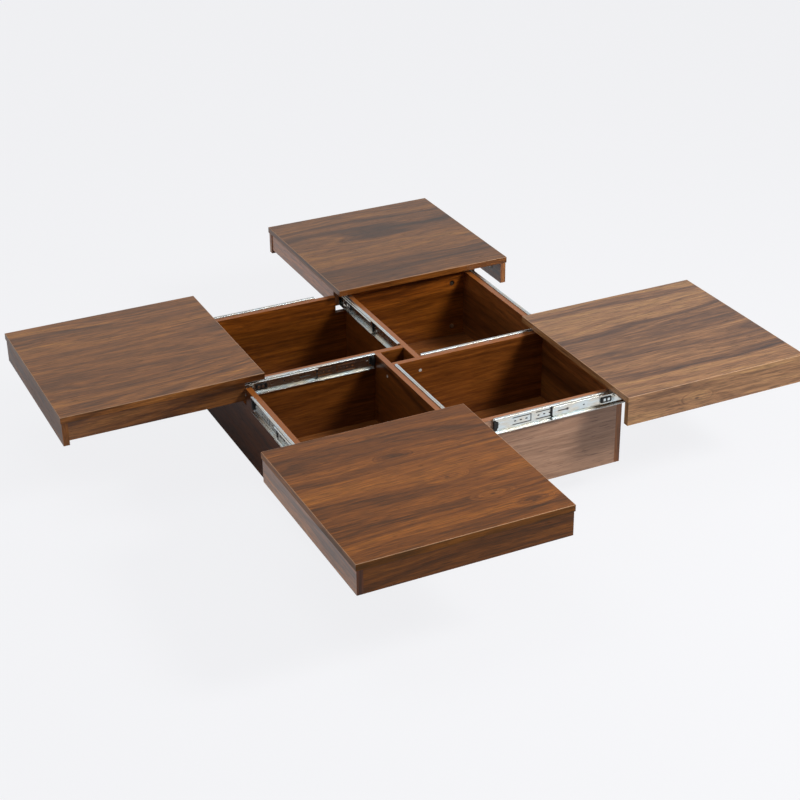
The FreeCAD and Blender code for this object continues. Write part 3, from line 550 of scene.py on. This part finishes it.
# ---------------------------------------------------------------- dressing the CAD model
# Painted light, shade and sheen: boards whose laminate is tinted paler, greyer, warmer or darker
# than the rest, where the light, shade or sheen on them differs: the tint of a board's faces, and of
# those that look along x or y where theirs is another.
PAINTED_LIGHT_TINTS = {
    "lid_left_top": {"z": (1.06, 1.12, 1.00), "y": (0.98, 1.00, 1.0), "x": (0.80, 0.84, 0.9)},
    "lid_back_top": {"z": (0.87, 0.94, 0.86), "y": (0.84, 0.78, 0.58), "x": (1.0, 1.0, 1.0)},
    "lid_right_top": {"z": (1.12, 1.52, 2.45), "y": (1.12, 1.62, 2.9), "x": (1.20, 1.66, 2.8)},
    "lid_front_top": {"z": (0.86, 0.75, 0.40), "y": (0.53, 0.45, 0.20), "x": (1.0, 1.0, 1.0)},
    "lid_front_end_apron": {"z": (0.54, 0.45, 0.20)},
    "lid_front_side_apron": {"z": (1.75, 1.95, 2.2), "y": (0.54, 0.43, 0.20)},
    "lid_back_rails": {"z": (1.50, 1.35, 0.95)},
    "lid_left_rails": {"z": (0.84, 0.92, 1.00)},
    "lid_left_end_apron": {"z": (0.80, 0.84, 0.90)},
    "lid_right_side_apron": {"z": (1.12, 1.62, 2.9)},
    "wall_front": {"z": (1.72, 2.95, 8.0)},
    "wall_left": {"z": (0.42, 0.34, 0.22)},
    "wall_back": {"z": (1.20, 1.02, 0.50)},
    "partition_left": {"z": (0.66, 0.58, 0.38)},
    "partition_back": {"z": (0.84, 0.72, 0.45)},
    "partition_right": {"z": (0.93, 0.84, 0.60)},
    "partition_front": {"z": (0.80, 0.72, 0.50)},
}

# Boards with a glossier or duller film than the rest, as their index of refraction.
SHEENS = {
    "lid_back_top": 1.42,
    "lid_left_top": 1.45,
    "lid_front_top": 1.44,
    "lid_front_side_apron": 1.40,
    "lid_back_rails": 1.78,
    "lid_front_end_apron": 1.40,
    "lid_left_end_apron": 1.35,
    "wall_left": 1.36,
    "wall_back": 1.40,
    "partition_left": 1.40,
    "partition_right": 1.40,
}

# Boards whose film has a warm gloss.
GLOSSES = {
    "lid_back_top": (1.0, 0.97, 0.80, 1.0),
    "lid_left_top": (1.0, 0.95, 0.70, 1.0),
    "lid_front_top": (1.0, 0.70, 0.30, 1.0),
    "lid_front_end_apron": (1.0, 0.84, 0.62, 1.0),
}

# Small knots in the laminate, each with its place along the grain and across it.
KNOTS = {
    "lid_front_top": ((-0.067, -0.485), (-0.251, -0.189), (-0.186, -0.318), (-0.131, -0.422)),
    "lid_right_side_apron": ((0.544, -0.234),),
}

# The board whose faces that look along x have a clear coat.
COATED_BOARD = "lid_front_side_apron"

# How strongly the figure shows on the lids, on the body's boards, and on the front wall.
LID_FIGURE = 1.15
BODY_FIGURE = 0.85
FRONT_WALL_FIGURE = 0.45

# Each board's seed gives it a figure of its own; a lid's boards are cut from one sheet.
LID_SEEDS = {"back": 14.2, "left": 11.6, "front": 17.9, "right": 12.7}
WALL_SEED = 2.3
PARTITION_SEED = 8.1
PARTITION_SEED_STEP = 1.3
BOTTOM_SEED = 41.0
PLINTH_SEED = 44.0

# The painted shade on a wall behind a channel, in millimetres: how far it stays inside the
# channel's ends, its half height, and how deep it reaches on both sides of the wall's face.
SHADE_INSET = 2.0
SHADE_HALF = 17.0
SHADE_SKIN = 0.4


def channel_shade_box(number):
    """The box round the part of a wall's outer face that a lid's outer channel covers, which gets
    painted shade.
    """
    corners = []
    for way, end in ((-1, CHANNEL_END + SHADE_INSET), (1, CHANNEL_END + CHANNEL_LENGTH - SHADE_INSET)):
        corners.append(Vector((WALL_HIGH.x + way * SHADE_SKIN * MM, end * MM,
                               SLIDE_MIDDLE + way * SHADE_HALF * MM)))
    return turned_box(corners, number)


def grain_of(side, along_travel):
    """The grain axis of a board that lies along or across its lid's travel."""
    travels_along_y = side in ("back", "front")
    return "y" if along_travel == travels_along_y else "x"


def dress(node, material):
    """Give a CAD node its finish."""
    for material_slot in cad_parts[node].material_slots:
        material_slot.material = material


def board(node, grain, seed, **more):
    """Give a board its own walnut laminate."""
    light_tints = {axis: (*tint, 1.0) for axis, tint in PAINTED_LIGHT_TINTS.get(node, {}).items()}
    laminate = walnut(node, grain, seed, light_tints=light_tints, sheen=SHEENS.get(node, FILM_SHEEN),
                      gloss=GLOSSES.get(node, NO_TINT), knots=KNOTS.get(node, ()),
                      coated=node == COATED_BOARD, **more)
    dress(node, laminate)


def dress_boards():
    """Give every board of the body and of the lids its laminate."""
    for number, side in enumerate(SIDES):
        across, along = grain_of(side, False), grain_of(side, True)
        # The channel on a wall's outer face belongs to the next lid; the wall gets painted shade
        # behind it, and painted shade on its inner face, darker low down and on the left.
        board("wall_" + side, across, WALL_SEED + number, band_above=BODY_TOP,
              dark_in=channel_shade_box(number + 1), shaded_inside=True,
              figured=FRONT_WALL_FIGURE if side == "front" else BODY_FIGURE)
        board("partition_" + side, along, PARTITION_SEED + number * PARTITION_SEED_STEP,
              band_above=BODY_TOP, figured=BODY_FIGURE)
        lid = "lid_%s_" % side
        seed = LID_SEEDS[side]
        board(lid + "top", "x", seed, end_run="y", line_at=turned_box(BACK_LID_TOP, number),
              figured=LID_FIGURE)
        board(lid + "end_apron", across, seed, figured=LID_FIGURE)
        board(lid + "side_apron", along, seed, figured=LID_FIGURE)
        board(lid + "rails", along, seed)
    board("bottom_panel", "x", BOTTOM_SEED)
    board("plinth_boards", "x", PLINTH_SEED, end_run="y")


def dress_fittings():
    """Give the slides, screws, joints and glides their metals, plastics and woods."""
    for side in SIDES:
        steel = ZINC_ALONG[grain_of(side, True)]
        for kind in ("mid_members", "lid_members", "inner_cages"):
            dress("slide_%s_%s" % (kind, side), steel)
        # The outer ball cages get a dark band of painted shade round the slide's middle.
        dress("slide_outer_cages_" + side, WEB_SHADED_ZINC[grain_of(side, True)])
        dress("lid_%s_brackets" % side, WHITE_PAINT)
        dress("lid_%s_screws" % side, ZINC_ALONG["y"])
    dress("slide_channels_inner", ZINC_ALONG["hub"])
    dress("slide_channels_outer", ZINC_ALONG["rim"])
    dress("slide_screws", ZINC_ALONG["y"])
    dress("cam_bolts", ZINC_ALONG["y"])
    dress("carcass_screws", SCREW_STEEL)
    dress("cam_locks", CASTING)
    dress("dowels", BEECH)
    dress("slide_bumpers", RUBBER)
    dress("floor_glides", PLASTIC)


# ---------------------------------------------------------------- small fittings
# They are described on the back lid's slides, in millimetres, and turned about Z for the other
# lids.  A point has its place along the slide, its depth off the board, and its height from the
# slide's middle.  An outline lies along the slide and up.
DOME_RINGS = 4
DOME_SIDES = 20


class Fitting:
    """A mesh of small shapes on the slides of one lid."""

    def __init__(self, name, number):
        self.name = name
        self.turn = turn_to(number)
        self.mesh = bmesh.new()

    def put(self, slide, along, depth, height):
        face, way = slide
        point = Vector((face + way * depth * MM, along * MM, SLIDE_MIDDLE + height * MM))
        return self.mesh.verts.new(self.turn @ point)

    def skin(self, rings):
        """Faces between rings of corners that follow each other, and over the first and last."""
        for lower, upper in zip(rings, rings[1:]):
            for index in range(len(lower)):
                following = (index + 1) % len(lower)
                self.mesh.faces.new((lower[index], lower[following],
                                     upper[following], upper[index]))
        self.mesh.faces.new(rings[0])
        self.mesh.faces.new(list(reversed(rings[-1])))

    def prism(self, slide, outline, depths):
        """An outline with a thickness in depth."""
        self.skin([[self.put(slide, along, depth, height) for along, height in outline]
                   for depth in depths])

    def dome(self, slide, centre, radius, depths):
        """A round head that bulges in depth."""
        along, height = centre
        foot, crown = depths
        rings = []
        for step in range(DOME_RINGS):
            climb = math.pi / 2 * step / DOME_RINGS
            reach = radius * math.cos(climb)
            depth = foot + (crown - foot) * math.sin(climb)
            angles = [2 * math.pi * number / DOME_SIDES for number in range(DOME_SIDES)]
            rings.append([self.put(slide, along + reach * math.cos(angle), depth,
                                   height + reach * math.sin(angle)) for angle in angles])
        self.skin(rings)

    def finish(self, material, slot, body, rounding):
        bmesh.ops.recalc_face_normals(self.mesh, faces=self.mesh.faces)
        data = bpy.data.meshes.new(self.name)
        self.mesh.to_mesh(data)
        self.mesh.free()
        data.materials.append(material)
        piece = bpy.data.objects.new(self.name, data)
        bpy.context.scene.collection.objects.link(piece)
        bevel = piece.modifiers.new("rounding", "BEVEL")
        bevel.width = rounding * MM
        bevel.segments = 2
        bevel.limit_method = "ANGLE"
        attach(piece, body)


def lozenge(start, length, half, corner):
    """The outline of a rectangle with its corners cut off."""
    end = start + length
    return [(start, -half + corner), (start + corner, -half), (end - corner, -half),
            (end, -half + corner), (end, half - corner), (end - corner, half),
            (start + corner, half), (start, half - corner)]


def bracket_outline(start, length, half, arm, thickness):
    """The outline of a square bracket: a bar with an arm at its top and at its foot."""
    end = start + length
    return [(start, -half), (start + arm, -half), (start + arm, -half + thickness),
            (end, -half + thickness), (end, half - thickness), (start + arm, half - thickness),
            (start + arm, half), (start, half)]


def end_cap(fitting, slide):
    """The cap on an intermediate member's inner end: a frame along its edge, and a raised pad."""
    start = MEMBER_END - 0.6
    edge = bracket_outline(start, length=2.2, half=14.0, arm=6.5, thickness=3.2)
    pad = lozenge(start, length=1.8, half=12.0, corner=0.5)
    fitting.prism(slide, edge, depths=(1.9, 4.2))
    fitting.prism(slide, pad, depths=(4.2, 6.0))


def cage_plastic(fitting, slide):
    """The moulded inner end of an inner ball cage, with a rib across its tip."""
    body = lozenge(CAGE_END, length=31.0, half=7.5, corner=2.5)
    rib = lozenge(CAGE_END + 1.5, length=3.5, half=6.0, corner=1.0)
    fitting.prism(slide, body, depths=(5.0, 6.4))
    fitting.prism(slide, rib, depths=(6.4, 7.6))


def cage_steel(fitting, slide):
    """Two clips in the moulded end of an inner cage, and past it the stop and three rivets."""
    for middle in (CAGE_END + 11.5, CAGE_END + 22.5):
        clip = lozenge(middle - 3.2, length=6.4, half=3.6, corner=0.8)
        fitting.prism(slide, clip, depths=(6.3, 6.7))
    stop = lozenge(CAGE_END + 34.0, length=13.0, half=9.0, corner=1.2)
    lip = lozenge(CAGE_END + 36.0, length=4.0, half=6.0, corner=0.8)
    fitting.prism(slide, stop, depths=(5.0, 7.4))
    fitting.prism(slide, lip, depths=(7.4, 9.2))
    for height in (-5.0, 0.0, 5.0):
        fitting.dome(slide, (CAGE_END + 54.0, height), radius=1.3, depths=(4.9, 5.8))


def bumper_tongue(fitting, slide):
    """The flat tongue of a channel's bumper."""
    tongue = lozenge(CHANNEL_END + 7.6, length=6.4, half=9.0, corner=2.0)
    fitting.prism(slide, tongue, depths=(1.2, 1.6))


def fit(name, number, shape, material, slot, body, rounding):
    """Put a small shape on both slides of a lid, as one piece that rides a body."""
    fitting = Fitting(name, number)
    for slide in SLIDES:
        shape(fitting, slide)
    fitting.finish(material, slot, body, rounding)


def fit_slides():
    """Add the slides' small moulded and steel pieces."""
    for number, side in enumerate(SIDES):
        steel = ZINC_ALONG[grain_of(side, True)]
        cage = "inner_cage_" + side
        fit("mid_end_caps_" + side, number, end_cap, PLASTIC, "black_plastic", "mid_" + side, 0.3)
        fit("cage_ends_" + side, number, cage_plastic, PLASTIC, "black_plastic", cage, 0.4)
        fit("cage_stops_" + side, number, cage_steel, steel, "zinc_steel", cage, 0.2)
        fit("bumper_tongues_" + side, number, bumper_tongue, RUBBER, "black_rubber", "cabinet", 0.2)


# ---------------------------------------------------------------- studio
FLOOR_HALF = 14.0
PAPER = (0.60, 0.60, 0.615, 1.0)
PALE_PAPER = (0.62, 0.62, 0.635, 1.0)
BACKDROP = (0.965, 0.968, 0.99, 1.0)
SEEN_GLOW = 0.87
MIRRORED_GLOW = 0.80

# Where a mirrored ray sees that glow: out from the table, and not far to the left or in front.
OUT_OF_SHADE = (0.58, 0.80)
FROM_LEFT = (-1.00, -0.80, 0.35, 1.0)
FROM_FRONT = (-1.20, -0.95, 0.25, 1.0)

# The room's colours by how steeply a ray climbs, its colour in front, and the least that gloss
# mirrors of it.
ROOM_STOPS = (
    (0.34, (0.95, 0.95, 0.97, 1.0)),
    (0.49, (0.70, 0.70, 0.72, 1.0)),
    (0.58, (0.12, 0.12, 0.13, 1.0)),
    (1.0, (0.10, 0.10, 0.11, 1.0)),
)
ROOM_FRONT = (0.22, 0.22, 0.23, 1.0)
MIRRORED_ROOM = (0.44, 0.44, 0.46, 1.0)

# Each lamp's place, aim, size, power in watts, and whether it lights a surface's matt share and
# whether its gloss.
KEY_PLACE = (1.65, -1.96, 2.26)
KEY_AIM = (0.1, 0.0, 0.2)
LAMPS = {
    "key_light": (KEY_PLACE, KEY_AIM, 0.8, 86, True, False),
    "key_glint": (KEY_PLACE, KEY_AIM, 1.4, 45, False, True),
    "top_light": ((-0.9, -0.2, 2.6), (-0.5, -0.1, 0.2), 1.2, 12, True, True),
}

# The camera looks at CAMERA_TARGET from the left of the front and from above, in degrees.
CAMERA_AZIMUTH = -25.464
CAMERA_ELEVATION = 27.870
CAMERA_ROLL = -0.7065
CAMERA_TARGET = Vector((-0.24667, -0.52919, 0.46290))
CAMERA_DISTANCE = 3.6373
CAMERA_REACH = 100.0
LENS = 77.363
SENSOR_WIDTH = 36.0


def light(name, place, aim, size, power, matt, glossy):
    """A square lamp, which lights the matt share of a surface, its gloss, or both."""
    lamp = bpy.data.lights.new(name, "AREA")
    lamp.shape = "SQUARE"
    lamp.size = size
    lamp.energy = power
    holder = bpy.data.objects.new(name, lamp)
    holder.location = place
    holder.rotation_mode = "QUATERNION"
    holder.rotation_quaternion = (Vector(aim) - Vector(place)).to_track_quat("-Z", "Y")
    holder.visible_camera = False
    holder.visible_diffuse = matt
    holder.visible_glossy = glossy
    bpy.context.scene.collection.objects.link(holder)


def backdrop_share(finish, x, y):
    """How much of the floor's own even glow each kind of ray sees, besides its lit surface."""
    open_floor = abs(x).larger(abs(y)).fade(*OUT_OF_SHADE)
    open_floor = open_floor * x.fade(*FROM_LEFT) * y.fade(*FROM_FRONT)
    share = finish.node("LightPath", output="Is Glossy Ray") * open_floor * MIRRORED_GLOW
    for ray in ("Is Camera Ray", "Is Transmission Ray"):
        share = share.larger(finish.node("LightPath", output=ray) * SEEN_GLOW)
    return share


def lay_floor():
    """A pale floor that shows an even colour and keeps a soft shadow."""
    mesh = bpy.data.meshes.new("studio_floor")
    corners = [(-FLOOR_HALF, -FLOOR_HALF, 0), (FLOOR_HALF, -FLOOR_HALF, 0),
               (FLOOR_HALF, FLOOR_HALF, 0), (-FLOOR_HALF, FLOOR_HALF, 0)]
    mesh.from_pydata(corners, [], [(0, 1, 2, 3)])
    floor = bpy.data.objects.new("studio_floor", mesh)
    bpy.context.scene.collection.objects.link(floor)
    finish = Finish.named("studio_floor")
    x, y, z = finish.place()
    mottle = finish.noise(finish.point(x, y, z), scale=3.0, detail=2.0, roughness=0.5)
    matt = finish.node("BsdfDiffuse", inputs={"Color": finish.mix(mottle, PAPER, PALE_PAPER)})
    glow = finish.node("Emission", inputs={"Color": BACKDROP, "Strength": 1.0})
    mixed = finish.node("MixShader", inputs=(backdrop_share(finish, x, y), matt, glow))
    finish.node("OutputMaterial", inputs={"Surface": mixed})
    mesh.materials.append(finish.owner)


def light_room():
    """Soft studio light, from the lamps and from the room itself."""
    world = bpy.data.worlds.new("studio")
    bpy.context.scene.world = world
    finish = Finish(world)
    back, height = finish.parts(finish.node("TexCoord", output="Generated"), "YZ")
    colour = finish.mix(back.fade(-0.5, 0.5), ROOM_FRONT, finish.ramp(height, ROOM_STOPS))
    mirrored = finish.node("LightPath", output="Is Glossy Ray")
    colour = finish.mix(mirrored, colour, MIRRORED_ROOM, "LIGHTEN")
    room = finish.node("Background", inputs={"Color": colour, "Strength": 1.0})
    finish.node("OutputWorld", inputs={"Surface": room})
    for name, settings in LAMPS.items():
        light(name, *settings)


def place_camera():
    """The camera, which looks at its target with a slight roll."""
    azimuth = math.radians(CAMERA_AZIMUTH)
    elevation = math.radians(CAMERA_ELEVATION)
    outward = Vector((math.sin(azimuth) * math.cos(elevation),
                      -math.cos(azimuth) * math.cos(elevation), math.sin(elevation)))
    data = bpy.data.cameras.new("camera")
    data.sensor_width = SENSOR_WIDTH
    data.lens = LENS
    data.clip_end = CAMERA_REACH
    camera = bpy.data.objects.new("camera", data)
    camera.location = CAMERA_TARGET + outward * CAMERA_DISTANCE
    camera.rotation_mode = "QUATERNION"
    level = (-outward).to_track_quat("-Z", "Y")
    roll = Quaternion((0.0, 0.0, 1.0), math.radians(CAMERA_ROLL))
    camera.rotation_quaternion = level @ roll
    bpy.context.scene.collection.objects.link(camera)
    bpy.context.scene.camera = camera


dress_boards()
dress_fittings()
fit_slides()
lay_floor()
light_room()
place_camera()
bpy.context.scene.view_settings.view_transform = "Standard"
